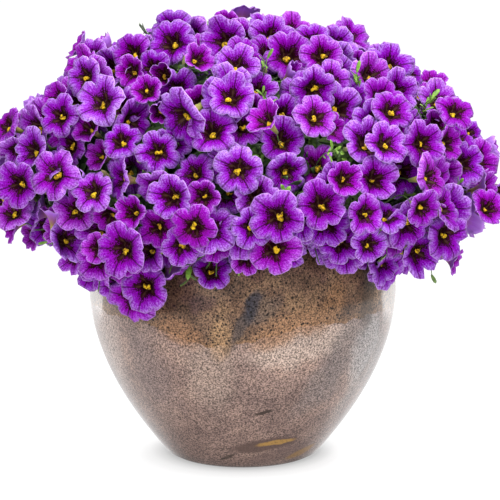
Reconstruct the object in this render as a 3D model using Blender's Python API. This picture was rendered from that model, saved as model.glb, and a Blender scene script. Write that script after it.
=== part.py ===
# Potted calibrachoa: a glazed stoneware pot, its potting soil, three plants and their flowering shoots.
# Metres, +Z up. The origin is the centre of the pot's foot, on the surface that it stands on.

import math

import bmesh
import bpy
import numpy as np
from mathutils import Vector

# Pot
POT_BELLY_RADIUS = 0.110
POT_BELLY_HEIGHT = 0.120
POT_HEIGHT = 0.163
POT_TAPER = 0.513          # share of the belly radius that is gone at the foot
POT_TAPER_POWER = 1.86
POT_WALL = 0.008
POT_FLOOR = 0.012
FOOT_EDGE = 0.002          # rounded edge at the foot
FOOT_RING_INNER = 0.040
FOOT_RECESS = 0.003
DRAIN_RADIUS = 0.010
TURNING_STEPS = 56

# Soil and the three rooted plants
CLEARANCE = 0.0003
SOIL_SURFACE = 0.140
PLANT_COUNT = 3
PLANT_RING_RADIUS = 0.046
ROOT_PLUG_RADIUS = 0.021
ROOT_PLUG_DEPTH = 0.055
COLLAR_RADIUS = 0.008
COLLAR_TOP = SOIL_SURFACE + 0.013

# Mound of flowers: half an ellipsoid over a flatter one, ending in a skirt below the rim
MOUND_RADIUS = 0.180
MOUND_MIDDLE = 0.197
DOME_RISE = 0.119
SKIRT_DROP = 0.086
SKIRT_BOTTOM = 0.138
FLOWER_COUNT = 360
FLOWER_SCATTER = 0.32      # how far a flower strays from its even place, in flower spacings
GOLDEN_ANGLE = math.pi * (3.0 - math.sqrt(5.0))

# Shoots
SHOOT_COUNT = 18
FLOWER_TRIM = 0.0005       # how far a shoot's flowers stop short of its neighbours' flowers
LEAF_TRIM = 0.0025
FLOWER_DEPTH = 0.0085
BLOOM_BORDER = 0.0035      # from a bloom's edge in to its raised ring
BLOOM_RAISE = 0.0040
THROAT_DEPTH = 0.0095      # below the raised ring
LEAF_GAP = 0.0015
LEAF_DEPTH = 0.015
SKIRT_LEAF_DEPTH = 0.008
STEM_BASE_RADIUS = 0.0020
STEM_TIP_RADIUS = 0.0011
STEM_RING_RADIUS = 0.0055
STEM_END_GAP = 0.0010

for old in list(bpy.data.objects):
    bpy.data.objects.remove(old, do_unlink=True)


def make_material(name, colour, roughness):
    material = bpy.data.materials.new(name)
    material.use_nodes = True
    shader = material.node_tree.nodes["Principled BSDF"]
    shader.inputs["Base Color"].default_value = (*colour, 1.0)
    shader.inputs["Roughness"].default_value = roughness
    shader.inputs["Metallic"].default_value = 0.0
    return material


GLAZE = make_material("glazed_stoneware", (0.27, 0.20, 0.16), 0.22)
SOIL = make_material("potting_soil", (0.035, 0.022, 0.014), 0.95)
BARK = make_material("woody_crown", (0.16, 0.11, 0.06), 0.85)
STEM = make_material("green_stem", (0.16, 0.28, 0.07), 0.60)
LEAF = make_material("calibrachoa_leaf", (0.10, 0.24, 0.05), 0.55)
PETAL = make_material("calibrachoa_petal", (0.30, 0.05, 0.55), 0.50)


def add_object(name, bm, material):
    mesh = bpy.data.meshes.new(name)
    bm.to_mesh(mesh)
    bm.free()
    mesh.materials.append(material)
    obj = bpy.data.objects.new(name, mesh)
    bpy.context.collection.objects.link(obj)
    return obj


def turn_profile(profile, closed):
    """Spin a profile of (radius, height) points about Z into one closed solid."""
    bm = bmesh.new()
    verts = [bm.verts.new((radius, 0.0, height)) for radius, height in profile]
    edges = [bm.edges.new(pair) for pair in zip(verts, verts[1:])]
    if closed:
        edges.append(bm.edges.new((verts[-1], verts[0])))
    bmesh.ops.spin(bm, geom=verts + edges, axis=(0, 0, 1), cent=(0, 0, 0),
                   angle=2 * math.pi, steps=TURNING_STEPS, use_merge=True)
    bmesh.ops.remove_doubles(bm, verts=bm.verts, dist=1e-6)
    bmesh.ops.recalc_face_normals(bm, faces=bm.faces)
    return bm


# ---------------------------------------------------------------- pot and soil

def pot_radius(height):
    """Outside of the pot: widest at the belly and drawn in by a power of the distance from it."""
    away = abs(height - POT_BELLY_HEIGHT) / POT_BELLY_HEIGHT
    return POT_BELLY_RADIUS * (1.0 - POT_TAPER * away ** POT_TAPER_POWER)


def arc_points(centre, radius, start, end, steps):
    """Points on an arc in the (radius, height) plane, angles in degrees."""
    angles = np.radians(np.linspace(start, end, steps))
    return [(centre[0] + radius * math.cos(a), centre[1] + radius * math.sin(a)) for a in angles]


def filled_wall(gap):
    """The wall from the soil's surface down to the floor, a gap inside the pot's outline."""
    return [(pot_radius(h) - gap, h) for h in np.linspace(SOIL_SURFACE, POT_FLOOR + 0.006, 6)]


def make_pot():
    lip_radius = POT_WALL / 2
    lip_height = POT_HEIGHT - lip_radius
    lip_centre = (pot_radius(lip_height) - lip_radius, lip_height)
    outside = [(pot_radius(h), h) for h in np.linspace(FOOT_EDGE, lip_height - 0.006, 10)]
    lip = arc_points(lip_centre, lip_radius, -10, 190, 6)
    inside = [(pot_radius(lip_height - 0.008) - POT_WALL, lip_height - 0.008), *filled_wall(POT_WALL)]
    floor = [(pot_radius(0) - 2 * POT_WALL, POT_FLOOR), (DRAIN_RADIUS, POT_FLOOR)]
    foot = [(DRAIN_RADIUS, FOOT_RECESS), (FOOT_RING_INNER - FOOT_RECESS, FOOT_RECESS),
            (FOOT_RING_INNER, 0.0), (pot_radius(0) - FOOT_EDGE, 0.0)]
    pot = add_object("pot", turn_profile(outside + lip + inside + floor + foot, closed=True), GLAZE)
    pot.data.shade_smooth()
    pot.data.set_sharp_from_angle(angle=math.radians(40))


def plant_positions():
    turns = [2 * math.pi * (k + 0.25) / PLANT_COUNT for k in range(PLANT_COUNT)]
    return [Vector((PLANT_RING_RADIUS * math.cos(a), PLANT_RING_RADIUS * math.sin(a), 0.0)) for a in turns]


def root_profile(margin):
    """A tapered plug of roots under a woody collar, grown by a margin for the hole that it sits in."""
    plug_foot = SOIL_SURFACE - ROOT_PLUG_DEPTH - margin
    shoulder = SOIL_SURFACE - 0.004 + margin
    return [(0.0, plug_foot), (0.7 * ROOT_PLUG_RADIUS + margin, plug_foot),
            (ROOT_PLUG_RADIUS + margin, shoulder - 0.006), (0.8 * ROOT_PLUG_RADIUS + margin, shoulder)]


def turned_piece(profile, centre, steps):
    """A small turned solid about a vertical axis through centre."""
    bm = bmesh.new()
    verts = [bm.verts.new((radius, 0.0, height)) for radius, height in profile]
    edges = [bm.edges.new(pair) for pair in zip(verts, verts[1:])]
    bmesh.ops.spin(bm, geom=verts + edges, axis=(0, 0, 1), cent=(0, 0, 0),
                   angle=2 * math.pi, steps=steps, use_merge=True)
    bmesh.ops.remove_doubles(bm, verts=bm.verts, dist=1e-6)
    bmesh.ops.recalc_face_normals(bm, faces=bm.faces)
    bmesh.ops.translate(bm, verts=bm.verts, vec=centre)
    return bm


def make_soil():
    low = POT_FLOOR + CLEARANCE
    profile = [(0.0, SOIL_SURFACE), *filled_wall(POT_WALL + CLEARANCE),
               (pot_radius(0) - 2 * POT_WALL - CLEARANCE, low), (0.0, low)]
    soil = add_object("potting_soil", turn_profile(profile, closed=False), SOIL)
    for index, centre in enumerate(plant_positions(), start=1):
        top = SOIL_SURFACE + 0.010
        hole = root_profile(CLEARANCE) + [(0.8 * ROOT_PLUG_RADIUS + CLEARANCE, top), (0.0, top)]
        cutter = add_object(f"root_hole_{index}", turned_piece(hole, centre, 16), SOIL)
        cutter.hide_render = True
        cutter.display_type = "WIRE"
        cut = soil.modifiers.new(f"root_hole_{index}", "BOOLEAN")
        cut.operation = "DIFFERENCE"
        cut.object = cutter


def make_crowns():
    for index, centre in enumerate(plant_positions(), start=1):
        collar = [(COLLAR_RADIUS * 1.3, SOIL_SURFACE), (COLLAR_RADIUS, COLLAR_TOP), (0.0, COLLAR_TOP)]
        add_object(f"crown_{index}", turned_piece(root_profile(0.0) + collar, centre, 16), BARK)


# ---------------------------------------------------------------- mound of flowers

def mound_profile(steps=400):
    """Radius, height and cumulative surface area of the mound from its top to well below its skirt."""
    tilt = np.linspace(0.0, math.radians(150), steps)
    rise = np.where(tilt < math.pi / 2, DOME_RISE, SKIRT_DROP)
    radius = MOUND_RADIUS * np.sin(tilt)
    height = MOUND_MIDDLE + rise * np.cos(tilt)
    slant = np.hypot(np.diff(radius), np.diff(height))
    band = math.pi * (radius[1:] + radius[:-1]) * slant
    return radius, height, np.concatenate([[0.0], np.cumsum(band)])


def mound_normal(point):
    """Outward direction of the mound's smooth surface at a point."""
    rise = DOME_RISE if point.z > MOUND_MIDDLE else SKIRT_DROP
    normal = Vector((point.x / MOUND_RADIUS ** 2, point.y / MOUND_RADIUS ** 2,
                     (point.z - MOUND_MIDDLE) / rise ** 2))
    return normal.normalized()


def mound_points(count, scatter, spread_count):
    """Evenly spaced places on the mound, one golden angle apart, each strayed by a little scatter.
    spread_count of them fill the mound down to its skirt, and any more carry on underneath it."""
    radius, height, area = mound_profile()
    skirt_area = np.interp(-SKIRT_BOTTOM, -height, area)
    chance = np.random.RandomState(7)
    index = np.arange(count)
    share = (index + 0.5) / spread_count * skirt_area
    spacing = math.sqrt(skirt_area / spread_count)
    local_radius = np.interp(share, area, radius)
    share = share + 2 * math.pi * local_radius * spacing * scatter * chance.uniform(-1, 1, count)
    share = np.clip(share, 0.0, area[-1])
    turn = index * GOLDEN_ANGLE
    turn = turn + scatter * spacing / np.maximum(local_radius, spacing) * chance.uniform(-1, 1, count)
    around, up = np.interp(share, area, radius), np.interp(share, area, height)
    return [Vector((r * math.cos(a), r * math.sin(a), z)) for r, a, z in zip(around, turn, up)]


def flower_cells():
    """One many-sided cell for each flower: its corners are the middles of the triangles that join
    the flower to its neighbours. Places below the skirt only close the cells of the lowest flowers."""
    below_skirt = FLOWER_COUNT // 4
    places = mound_points(FLOWER_COUNT + below_skirt, FLOWER_SCATTER, FLOWER_COUNT)
    net = bmesh.new()
    verts = [net.verts.new(place) for place in places]
    bmesh.ops.convex_hull(net, input=verts)
    net.normal_update()
    corners, cells = {}, []
    for vert in verts[:FLOWER_COUNT]:
        loop = vert.link_loops[0]
        cell = []
        for _ in range(len(vert.link_faces)):
            face = loop.face
            corners.setdefault(face.index, face.calc_center_median())
            cell.append(face.index)
            loop = loop.link_loop_prev.link_loop_radial_next
        cells.append(cell)
    net.free()
    return places[:FLOWER_COUNT], corners, cells


def nearest_shoot(place, seeds):
    return min(range(len(seeds)), key=lambda k: (place - seeds[k]).length)


def shoot_sheet(cells, corners, trim):
    """The cells of one shoot as an open sheet, trimmed so that it stays clear of its neighbours."""
    bm = bmesh.new()
    verts = {}
    for cell in cells:
        for corner in cell:
            if corner not in verts:
                verts[corner] = bm.verts.new(corners[corner])
        bm.faces.new([verts[corner] for corner in cell])
    bmesh.ops.recalc_face_normals(bm, faces=bm.faces)
    if sum(f.normal.dot(mound_normal(f.calc_center_median())) for f in bm.faces) < 0:
        bmesh.ops.reverse_faces(bm, faces=bm.faces)
    trimmed = bmesh.ops.inset_region(bm, faces=bm.faces, thickness=trim, use_boundary=True,
                                     use_even_offset=True)
    bmesh.ops.delete(bm, geom=trimmed["faces"], context="FACES")
    return bm


def thicken_inward(bm, depth_at):
    """Close an open sheet into a solid that reaches inward along the mound's own normals."""
    outer = list(bm.faces)
    copied = bmesh.ops.extrude_face_region(bm, geom=outer, use_keep_orig=True)["geom"]
    for vert in (item for item in copied if isinstance(item, bmesh.types.BMVert)):
        vert.co -= mound_normal(vert.co) * depth_at(vert.co)
    inner = [item for item in copied if isinstance(item, bmesh.types.BMFace)]
    inner = bmesh.ops.triangulate(bm, faces=inner)["faces"]
    bmesh.ops.reverse_faces(bm, faces=inner)
    bmesh.ops.recalc_face_normals(bm, faces=bm.faces)
    return outer, inner


def leaf_depth(point):
    """Leaves pack deeply inside the dome and thinly at the skirt, where the pot is close."""
    share = (point.z - SKIRT_BOTTOM) / (MOUND_MIDDLE - SKIRT_BOTTOM)
    return SKIRT_LEAF_DEPTH + (LEAF_DEPTH - SKIRT_LEAF_DEPTH) * min(max(share, 0.0), 1.0)


def make_flowers(name, cells, corners):
    bm = shoot_sheet(cells, corners, FLOWER_TRIM)
    outer, _ = thicken_inward(bm, lambda point: FLOWER_DEPTH)
    bmesh.ops.inset_individual(bm, faces=outer, thickness=BLOOM_BORDER, depth=BLOOM_RAISE,
                               use_even_offset=True)
    bmesh.ops.poke(bm, faces=outer, offset=-THROAT_DEPTH)
    add_object(name, bm, PETAL)


def make_leaves(name, cells, corners):
    """A closed cushion of foliage. The place where its stem meets it is returned."""
    bm = shoot_sheet(cells, corners, LEAF_TRIM)
    for vert in bm.verts:
        vert.co -= mound_normal(vert.co) * (FLOWER_DEPTH + LEAF_GAP)
    outer, inner = thicken_inward(bm, leaf_depth)
    bmesh.ops.triangulate(bm, faces=outer)
    middle = sum((face.calc_center_median() for face in inner), Vector()) / len(inner)
    centres = [face.calc_center_median() for face in inner]
    hub = min(centres, key=lambda centre: (centre - middle).length)
    add_object(name, bm, LEAF)
    return hub


def make_stem(name, start, end, inward):
    """A tapered stem that rises from its crown, arches and meets the leaves from inside."""
    reach = (end - start).length
    curve = bpy.data.curves.new(name, "CURVE")
    curve.dimensions = "3D"
    curve.bevel_depth = 1.0
    curve.bevel_resolution = 1
    curve.resolution_u = 10
    curve.use_fill_caps = True
    curve.materials.append(STEM)
    spline = curve.splines.new("BEZIER")
    spline.bezier_points.add(1)
    root, tip = spline.bezier_points
    root.co, root.radius = start, STEM_BASE_RADIUS
    tip.co, tip.radius = end, STEM_TIP_RADIUS
    for point in (root, tip):
        point.handle_left_type = point.handle_right_type = "FREE"
    root.handle_right = start + Vector((0, 0, 0.45 * reach))
    root.handle_left = start - Vector((0, 0, 0.1 * reach))
    tip.handle_left = end + inward * 0.45 * reach
    tip.handle_right = end - inward * 0.1 * reach
    stem = bpy.data.objects.new(name, curve)
    bpy.context.collection.objects.link(stem)


def make_shoots():
    places, corners, cells = flower_cells()
    seeds = mound_points(SHOOT_COUNT, 0.0, SHOOT_COUNT)
    plants = plant_positions()
    members = [[] for _ in seeds]
    for place, cell in zip(places, cells):
        members[nearest_shoot(place, seeds)].append(cell)
    stems_of_plant = [[] for _ in plants]
    for number, own_cells in enumerate(members):
        make_flowers(f"flowers_{number + 1:02d}", own_cells, corners)
        hub = make_leaves(f"leaves_{number + 1:02d}", own_cells, corners)
        inward = -mound_normal(hub)
        end = hub + inward * STEM_END_GAP
        plant = min(range(PLANT_COUNT), key=lambda k: (plants[k] - Vector((end.x, end.y, 0))).length)
        stems_of_plant[plant].append((number, end, inward))
    for centre, stems in zip(plants, stems_of_plant):
        aims = [math.atan2(end.y - centre.y, end.x - centre.x) for _, end, _ in stems]
        ranked = sorted(range(len(stems)), key=lambda k: aims[k])
        step = 2 * math.pi / len(stems)
        lead = sum(aims[k] - step * order for order, k in enumerate(ranked)) / len(stems)
        for order, k in enumerate(ranked):
            number, end, inward = stems[k]
            turn = lead + step * order
            start = centre + Vector((STEM_RING_RADIUS * math.cos(turn), STEM_RING_RADIUS * math.sin(turn),
                                     COLLAR_TOP + CLEARANCE))
            make_stem(f"stem_{number + 1:02d}", start, end, inward)


make_pot()
make_soil()
make_crowns()
make_shoots()
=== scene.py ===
# Potted calibrachoa: violet blooms, foliage and a glazed stoneware pot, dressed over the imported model.
import math
from functools import partial

import bmesh
import bpy
import numpy as np
from mathutils import Matrix, Quaternion, Vector, kdtree, noise


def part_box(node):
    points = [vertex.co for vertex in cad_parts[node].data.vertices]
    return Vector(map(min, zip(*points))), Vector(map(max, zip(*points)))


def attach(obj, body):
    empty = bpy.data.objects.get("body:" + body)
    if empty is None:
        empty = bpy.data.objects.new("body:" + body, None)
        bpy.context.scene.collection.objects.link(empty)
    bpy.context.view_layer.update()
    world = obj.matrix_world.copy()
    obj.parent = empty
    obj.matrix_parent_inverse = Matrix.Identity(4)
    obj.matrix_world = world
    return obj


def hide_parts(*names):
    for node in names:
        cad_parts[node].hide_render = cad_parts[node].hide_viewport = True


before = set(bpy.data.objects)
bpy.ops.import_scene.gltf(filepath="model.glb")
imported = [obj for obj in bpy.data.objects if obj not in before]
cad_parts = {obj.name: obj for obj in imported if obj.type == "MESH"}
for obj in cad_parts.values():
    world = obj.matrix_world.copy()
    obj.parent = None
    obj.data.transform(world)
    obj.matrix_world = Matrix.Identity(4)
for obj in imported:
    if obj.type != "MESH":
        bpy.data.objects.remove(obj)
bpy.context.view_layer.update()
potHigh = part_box("pot")[1]
mm = 0.001
tau = 2 * math.pi
up = Vector((0, 0, 1))
goldenAngle = math.pi * (3 - math.sqrt(5))
shootNames = sorted(name[-2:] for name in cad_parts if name.startswith("flowers_"))
print("frame loaded:", len(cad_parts), "nodes,", len(shootNames), "shoots")


def srgb(text):  # sRGB hex to the linear colour that the shaders use
    parts = [int(text[i:i + 2], 16) / 255 for i in (1, 3, 5)]
    return (*[p / 12.92 if p <= 0.04045 else ((p + 0.055) / 1.055) ** 2.4 for p in parts], 1.0)


# adds a node, sets its properties, and fills its sockets, by place or by name, with values or with links
def addNode(tree, kind, sockets=(), stops=(), **properties):
    node = tree.nodes.new("ShaderNode" + kind)
    for name, value in properties.items():
        setattr(node, name, value)
    if stops:
        elements = node.color_ramp.elements
        while len(elements) < len(stops):
            elements.new(0.5)
        for element, (place, colour) in zip(elements, stops):
            element.position = place
            element.color = srgb(colour) if isinstance(colour, str) else (colour, colour, colour, 1)
    for name, value in sockets.items() if isinstance(sockets, dict) else enumerate(sockets):
        if isinstance(value, bpy.types.Node):
            value = value.outputs[0]
        if isinstance(value, bpy.types.NodeSocket):
            tree.links.new(value, node.inputs[name])
        else:
            node.inputs[name].default_value = value
    return node


def newMaterial(name):  # an empty material, and a function that adds nodes to it
    material = bpy.data.materials.new(name)
    material.use_nodes = True
    material.node_tree.nodes.clear()
    return material, partial(addNode, material.node_tree)


def finishMaterial(material, sockets):
    tree = material.node_tree
    addNode(tree, "OutputMaterial", (addNode(tree, "BsdfPrincipled", sockets),))
    return material


def meshOf(name, bm):
    mesh = bpy.data.meshes.new(name)
    bm.to_mesh(mesh)
    bm.free()
    return mesh


# turns faces outwards, and stores them and their corners in one fixed order, which merging leaves to chance
def orderFaces(bm):
    bmesh.ops.recalc_face_normals(bm, faces=bm.faces)
    bm.verts.index_update()
    corners = [[vert.index for vert in face.verts] for face in bm.faces]
    firsts = [around.index(min(around)) for around in corners]
    corners = sorted(around[first:] + around[:first] for around, first in zip(corners, firsts))
    bmesh.ops.delete(bm, geom=bm.faces[:], context="FACES_ONLY")
    bm.verts.ensure_lookup_table()
    for around in corners:
        bm.faces.new([bm.verts[index] for index in around])


def addObject(name, data):
    added = bpy.data.objects.new(name, data)
    bpy.context.collection.objects.link(added)
    return added


def addPiece(name, bm, materials, replaced):
    piece = addObject(name, meshOf(name, bm))
    for material in materials:
        piece.data.materials.append(material)
    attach(piece, "root")
    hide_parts(*replaced)
    return piece


# the mound that the blooms stand on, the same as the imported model's
mound = {
    "radius": 0.180, "middle": 0.197, "rise": 0.119, "drop": 0.086, "skirt": 0.138,
    "blooms": 360, "below": 90, "scatter": 0.32, "seed": 7,
    # angle from +X towards +Z, mm that the growth stands out there or falls short, and the width in degrees
    "swells": [(-38, 5, 12), (-9, -14, 12), (17, -20, 12), (33, -8, 10), (50, -19, 13), (64, -41, 11),
               (79, 6, 8), (92, -27, 8), (106, -12, 8), (120, -33, 12), (141, 9, 11), (156, -30, 12),
               (191, -14, 12), (218, 4, 12)],
    "billow": 4 * mm, "billowSize": 55 * mm,
    # angle round from the front, its width, and mm that the fringe is lifted there
    "fringe": [(14, 34, 26), (-35, 10, -6), (-24, 8, 2), (-48, 10, 2), (38, 6, 18), (45, 6, -6),
               (60, 9, 8), (90, 10, 20), (-82, 18, 44), (150, 30, 6)],
    "crestSink": 9 * mm,
}


def moundPlaces(count, scatter, spreadCount):
    tilt = np.linspace(0, math.radians(150), 400)
    rise = np.where(tilt < math.pi / 2, mound["rise"], mound["drop"])
    radius = mound["radius"] * np.sin(tilt)
    height = mound["middle"] + rise * np.cos(tilt)
    band = math.pi * (radius[1:] + radius[:-1]) * np.hypot(np.diff(radius), np.diff(height))
    area = np.concatenate([[0], np.cumsum(band)])
    skirtArea = np.interp(-mound["skirt"], -height, area)
    chance = np.random.RandomState(mound["seed"])
    index = np.arange(count)
    share = (index + 0.5) / spreadCount * skirtArea
    spacing = math.sqrt(skirtArea / spreadCount)
    localRadius = np.interp(share, area, radius)
    share = share + tau * localRadius * spacing * scatter * chance.uniform(-1, 1, count)
    share = np.clip(share, 0, area[-1])
    turn = index * goldenAngle
    turn = turn + scatter * spacing / np.maximum(localRadius, spacing) * chance.uniform(-1, 1, count)
    around, level = np.interp(share, area, radius), np.interp(share, area, height)
    return [Vector((r * math.cos(a), r * math.sin(a), z)) for r, a, z in zip(around, turn, level)]


def levelOf(spot):  # the level direction in which a spot or a normal lies from the pot's axis
    return Vector((spot.x, spot.y, 0)).normalized()


def moundNormal(place):
    rise = mound["rise"] if place.z > mound["middle"] else mound["drop"]
    return Vector((place.x / mound["radius"] ** 2, place.y / mound["radius"] ** 2,
                   (place.z - mound["middle"]) / rise ** 2)).normalized()


def settle(place):  # moves a place from the even mound to where this plant's growth stands
    out = Vector((place.x, place.y, place.z - mound["middle"])).normalized()
    swell = mound["billow"] * noise.noise(place / mound["billowSize"])
    for angle, amount, width in mound["swells"]:
        towards = Vector((math.cos(math.radians(angle)), 0, math.sin(math.radians(angle))))
        swell += amount * mm * math.exp(-(math.degrees(out.angle(towards)) / width) ** 2)
    low = min(1, max(0, (mound["middle"] - place.z) / (mound["middle"] - mound["skirt"])))
    turned = math.degrees(math.atan2(place.x, -place.y))
    lift = sum(amount * mm * math.exp(-((turned - angle) / width) ** 2)
               for angle, width, amount in mound["fringe"])
    return place + moundNormal(place) * swell + up * lift * low


pot = {
    "belly": potHigh.x, "bellyHeight": 0.120, "taper": 0.513, "power": 1.86, "wall": 0.008, "floor": 0.012,
    "footEdge": 0.002, "footRing": 0.040, "recess": 0.003, "drain": 0.010, "steps": 96,
}


def potRadius(height):
    away = abs(height - pot["bellyHeight"]) / pot["bellyHeight"]
    return pot["belly"] * (1 - pot["taper"] * away ** pot["power"])


def ownMap(add):  # the piece's own map, and how far across and along its petal or leaf a spot lies
    mapped = add("UVMap", uv_map="petalMap")
    across, along, _ = add("SeparateXYZ", (mapped,)).outputs
    return mapped, across, along


# Calibrachoa petal: thin, velvety and unglossy, so light spreads softly; its pale edge is a painted highlight
def petalMaterial():
    material, add = newMaterial("calibrachoaPetalVelvet")
    grain = 1.0 * mm      # cell clusters on the petal, drawn a little coarse so that they show
    mapped, across, along = ownMap(add)
    place = add("TexCoord").outputs["Object"]
    tint = add("Attribute", attribute_name="tint")
    kind, lightness, _ = add("SeparateColor", (tint,)).outputs
    part = add("Math", (across,), operation="FRACT")
    away = add("Math", (part, 0.5), operation="SUBTRACT")
    rib = add("Math", (away,), operation="ABSOLUTE")
    # streaks that run out along the petal
    streakAt = add("VectorMath", (mapped, (13, 1.6, 1)), operation="MULTIPLY")
    shifted = add("VectorMath", (tint, (90, 90, 90), streakAt), operation="MULTIPLY_ADD")
    streak = add("TexNoise", {"Vector": shifted, "Scale": 1.0, "Detail": 3.0, "Roughness": 0.65})
    blotch = add("TexNoise", {"Vector": place, "Scale": 1 / (6 * mm), "Detail": 2.0})
    speck = add("TexNoise", {"Vector": place, "Scale": 1 / grain, "Detail": 2.0, "Roughness": 0.7})
    # the dark throat reaches out along the ribs and along the streaks
    wander = add("Math", (streak, 0.52, -0.26), operation="MULTIPLY_ADD")
    level = along
    for shift in (add("Math", (rib, 0.30, -0.10), operation="MULTIPLY_ADD"), wander,
                  add("Math", (blotch, 0.16, -0.08), operation="MULTIPLY_ADD"),
                  add("MapRange", (speck, 0.35, 0.65, 0.10, -0.10))):
        level = add("Math", (level, shift), operation="ADD")
    lilac = add("ValToRGB", (level,), stops=[
        (0.00, "#1c0a06"), (0.28, "#2e1012"), (0.38, "#240611"), (0.42, "#40032e"), (0.47, "#78049c"),
        (0.59, "#8c0cba"), (0.70, "#9846c8"), (0.96, "#b286de")])
    magenta = add("ValToRGB", (level,), stops=[
        (0.00, "#1c0a06"), (0.28, "#2e1012"), (0.38, "#28060f"), (0.42, "#480228"), (0.47, "#86028c"),
        (0.64, "#9c0cb2"), (0.80, "#a834c4"), (0.97, "#b45ed6")])
    colour = add("MixRGB", (kind, lilac, magenta))
    astray = add("Math", (wander, 5.0), operation="MULTIPLY")
    ladder = add("Math", (rib, 8.0, astray), operation="MULTIPLY_ADD")
    ladder = add("Math", (ladder, 0.5), operation="PINGPONG")
    # what each mark follows, from where to where and how strong there, the same along the petal, and its tone
    for source, span, alongSpan, blend, tone in (
            (rib, (0.018, 0.052, 0.95, 0.0), (0.55, 1.0, 1.0, 0.6), "DARKEN", "#380434"),  # middle line
            (ladder, (0.06, 0.20, 0.6, 0.0), None, "DARKEN", "#640470"),  # side veins
            (speck, (0.52, 0.60, 0.0, 0.45), None, "DARKEN", "#660488"),  # fine specks
            (speck, (0.46, 0.38, 0.0, 1.0), (0.6, 0.95, 0.0, 0.25), "MIX", "#c99aee"),  # pale flecks
            # painted highlight along the petal's edge
            (along, (0.965, 0.99, 0.0, 0.55), None, "MIX", "#d9b0f2"),  # pale edge
            (rib, (0.05, 0.13, 0.55, 0.0), (0.36, 0.46, 1.0, 0.0), "MIX", "#5c4034")):  # throat's ribs
        amount = add("MapRange", (source, *span))
        if alongSpan:
            fade = add("MapRange", (along, *alongSpan))
            amount = add("Math", (amount, fade), operation="MULTIPLY")
        colour = add("MixRGB", (amount, colour, srgb(tone)), blend_type=blend)
    # each bloom is a little lighter or deeper than the next
    shade = add("MapRange", (lightness, 0.0, 1.0, 0.75, 1.03))
    purity = add("MapRange", (lightness, 0.0, 1.0, 1.08, 0.98))
    colour = add("HueSaturation", {"Value": shade, "Saturation": purity, "Color": colour})
    relief = add("Math", (streak, speck), operation="ADD")
    bump = add("Bump", {"Strength": 0.35, "Distance": 0.25 * mm, "Height": relief})
    return finishMaterial(material, {
        "Base Color": colour, "Normal": bump, "Roughness": 0.55, "IOR": 1.42, "Specular IOR Level": 0.08,
        "Sheen Weight": 0.02, "Sheen Roughness": 0.5, "Sheen Tint": srgb("#d8b8ff")})


# Back of the petals and the outside of the tube: matt, yellow-green where the tube starts, and paler lilac,
# partly its own colour and partly painted light that stands in for light shining through the thin petals
def petalBackMaterial():
    material, add = newMaterial("calibrachoaPetalUnderside")
    mapped, _, along = ownMap(add)
    streakAt = add("VectorMath", (mapped, (9, 1.2, 1)), operation="MULTIPLY")
    streak = add("TexNoise", {"Vector": streakAt, "Scale": 1.0, "Detail": 3.0})
    wander = add("Math", (streak, 0.3, -0.15), operation="MULTIPLY_ADD")
    level = add("Math", (along, wander), operation="ADD")
    colour = add("ValToRGB", (level,), stops=[
        (0.00, "#7f8c38"), (0.12, "#a8a44c"), (0.24, "#947058"), (0.36, "#8c4e8a"), (0.60, "#9a54c4"),
        (1.00, "#bc86e4")])
    bump = add("Bump", {"Strength": 0.3, "Distance": 0.25 * mm, "Height": streak})
    return finishMaterial(material, {"Base Color": colour, "Normal": bump, "Roughness": 0.65, "IOR": 1.42,
                                     "Sheen Weight": 0.08, "Specular IOR Level": 0.2})


# Pollen and stigma: dusty, egg-yolk yellow, with painted shade in olive in the hollows of its bumps
def pollenMaterial():
    material, add = newMaterial("yellowPollenDusty")
    place = add("TexCoord").outputs["Object"]
    dustAndPaintedShade = add("TexNoise", {"Vector": place, "Scale": 1 / (1.6 * mm), "Detail": 2.0})
    colour = add("ValToRGB", (dustAndPaintedShade,), stops=[
        (0.34, "#5a4004"), (0.45, "#b08604"), (0.54, "#dcb208"), (0.75, "#f0cc28")])
    bump = add("Bump", {"Strength": 0.5, "Distance": 0.3 * mm, "Height": dustAndPaintedShade})
    return finishMaterial(material, {"Base Color": colour, "Normal": bump, "Roughness": 0.75})


# Leaf: soft, slightly hairy green with a paler midrib; light when young, and darker deep in the plant as
# painted shade
def leafMaterial():
    material, add = newMaterial("calibrachoaLeafSoft")
    _, across, _ = ownMap(add)
    tint = add("Attribute", attribute_name="tint")
    youthAndPaintedShade, _, dryness = add("SeparateColor", (tint,)).outputs
    place = add("TexCoord").outputs["Object"]
    cells = add("TexNoise", {"Vector": place, "Scale": 1 / (2.2 * mm), "Detail": 3.0})
    # painted shade: the deep green is for leaves deep inside the plant
    deep = add("ValToRGB", (cells,), stops=[(0.30, "#16260e"), (0.52, "#233a14"), (0.75, "#355220")])
    young = add("ValToRGB", (cells,), stops=[(0.30, "#5a8428"), (0.52, "#7da83a"), (0.75, "#a6c65a")])
    colour = add("MixRGB", (youthAndPaintedShade, deep, young))
    rib = add("MapRange", (across, 0.02, 0.16, 0.5, 0.0))
    colour = add("MixRGB", (rib, colour, srgb("#a9c474")))
    colour = add("MixRGB", (dryness, colour, srgb("#b9967a")))
    bump = add("Bump", {"Strength": 0.4, "Distance": 0.3 * mm, "Height": cells})
    return finishMaterial(material, {
        "Base Color": colour, "Normal": bump, "Roughness": 0.5, "IOR": 1.45, "Sheen Weight": 0.05})


# Green stem: soft outside with fine lengthwise ridges, purple-tinged here and there
def stemMaterial():
    material, add = newMaterial("greenStemSoft")
    place = add("TexCoord").outputs["Object"]
    ridge = add("TexNoise", {"Vector": place, "Scale": 1 / (1.2 * mm), "Detail": 2.0})
    flush = add("TexNoise", {"Vector": place, "Scale": 1 / (22 * mm)})
    colour = add("ValToRGB", (ridge,), stops=[(0.35, "#4b6a24"), (0.7, "#86a244")])
    tinge = add("MapRange", (flush, 0.5, 0.75, 0.0, 0.6))
    colour = add("MixRGB", (tinge, colour, srgb("#6d4a52")))
    bump = add("Bump", {"Strength": 0.4, "Distance": 0.2 * mm, "Height": ridge})
    return finishMaterial(material, {"Base Color": colour, "Normal": bump, "Roughness": 0.6})


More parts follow.
